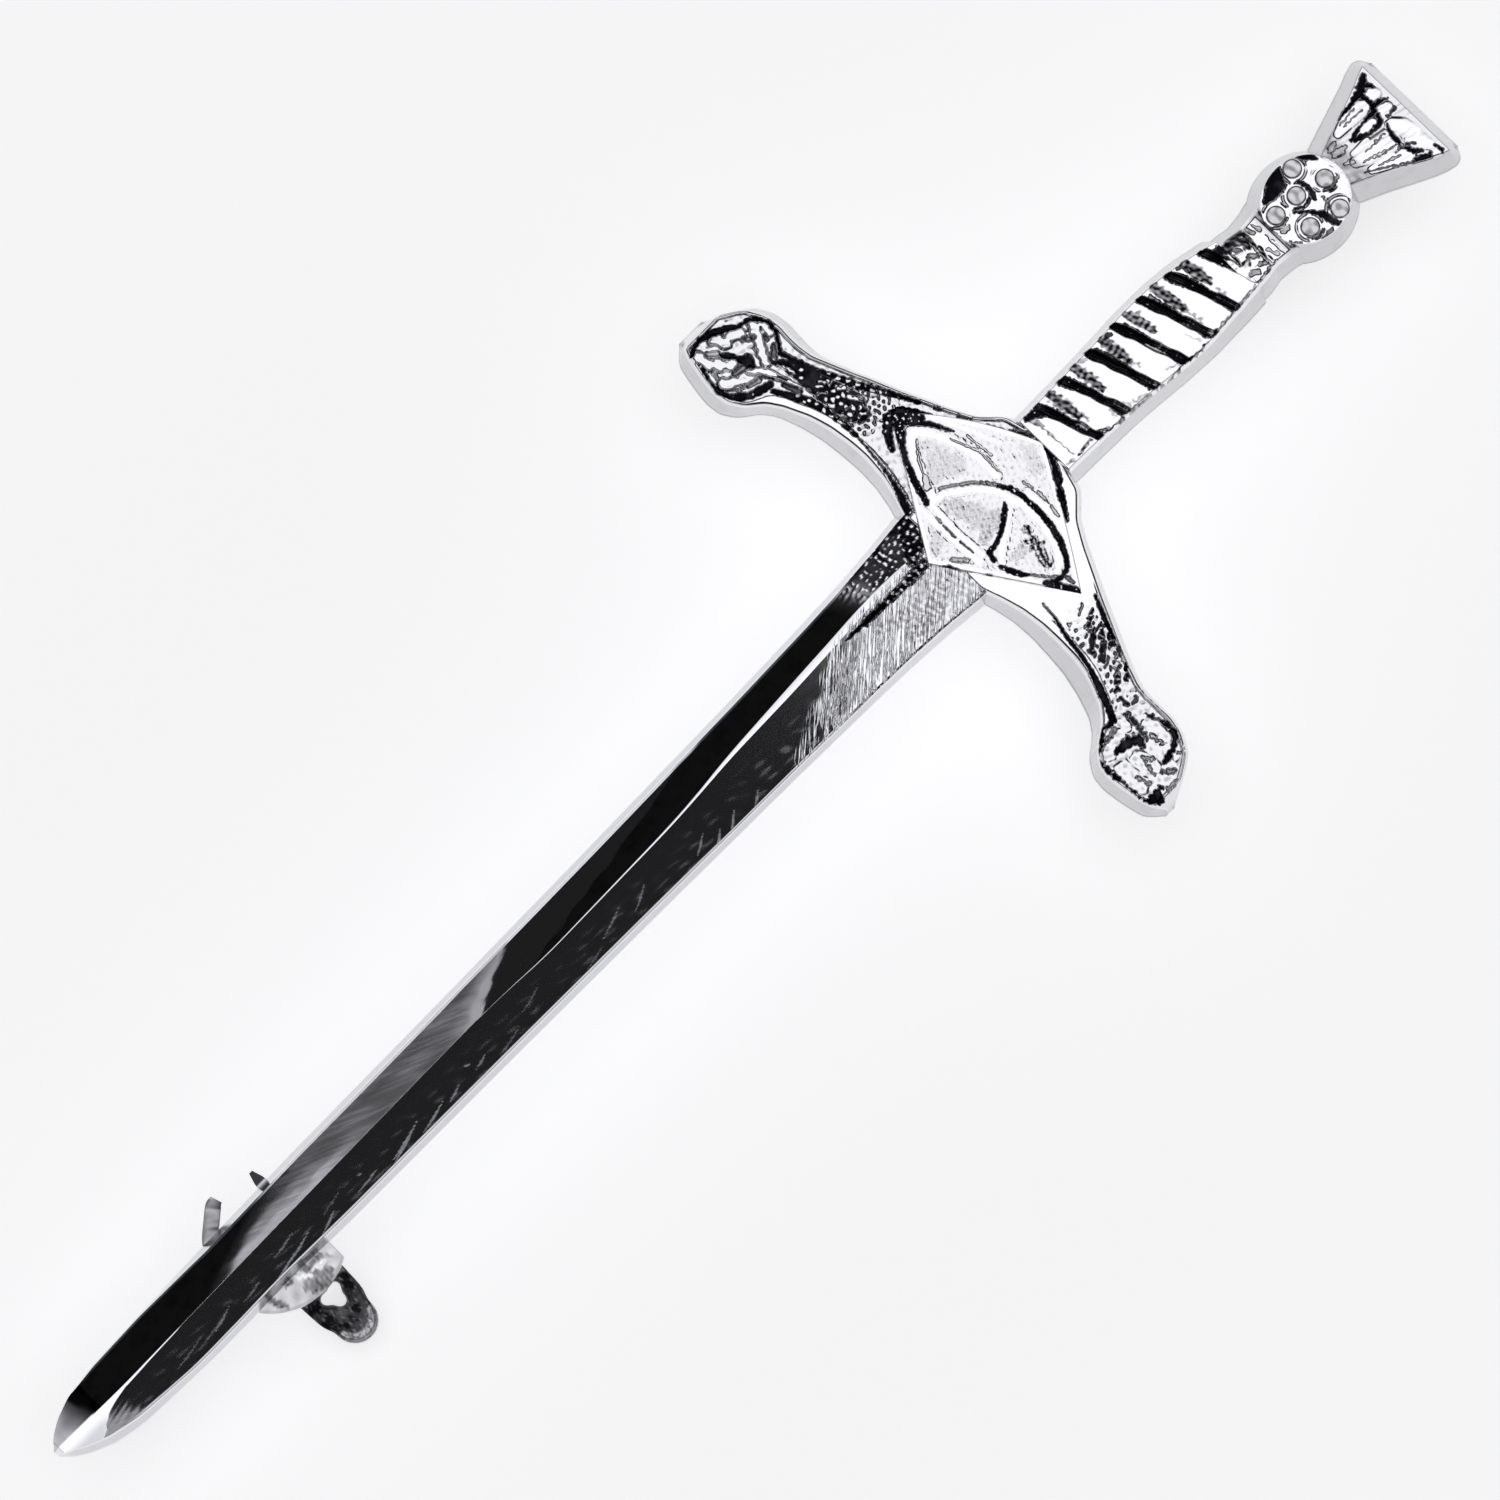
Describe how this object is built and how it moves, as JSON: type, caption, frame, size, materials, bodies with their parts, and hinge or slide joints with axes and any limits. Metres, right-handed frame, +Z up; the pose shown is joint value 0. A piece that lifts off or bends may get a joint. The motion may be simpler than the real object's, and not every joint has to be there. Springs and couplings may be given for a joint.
{
  "type": "kilt pin",
  "caption": "Chrome-plated kilt pin shaped like a sword with a thistle pommel, on a hinged stem with a roll-over safety catch.",
  "frame": {"origin": "the middle of the length and of the guard's span, on the surface that the hinge and the catch rest on", "axes": "+X from the blade's tip to the thistle, +Y across the blade to the side away from the lever, +Z up, out of the face"},
  "size_m": [0.1, 0.0356, 0.0103],
  "materials": {
    "plated_casting": "bright plating over a polished and hand-filed casting, stippled in the recesses",
    "stem_wire": "bright drawn wire with faint lengthwise lines",
    "rivet_metal": "bright rivet with hammered heads",
    "catch_metal": "plating over a rough cast lever, worn bright at its rim"
  },
  "bodies": {
    "sword": {"sword": "plated_casting", "hinge_rivet": "rivet_metal"},
    "pin": {"pin_stem": "stem_wire"},
    "lever": {"catch_roller": "catch_metal"}
  },
  "joints": [
    {"name": "pin_swing", "type": "hinge", "parent": "sword", "child": "pin", "pos_m": [0.01937, 0, 0.00171], "axis": [0, -1, 0], "range_deg": [0, 85]},
    {"name": "lever_turn", "type": "hinge", "parent": "sword", "child": "lever", "pos_m": [-0.03442, 0, 0.00171], "axis": [1, 0, 0], "range_deg": [0, 100]}
  ]
}
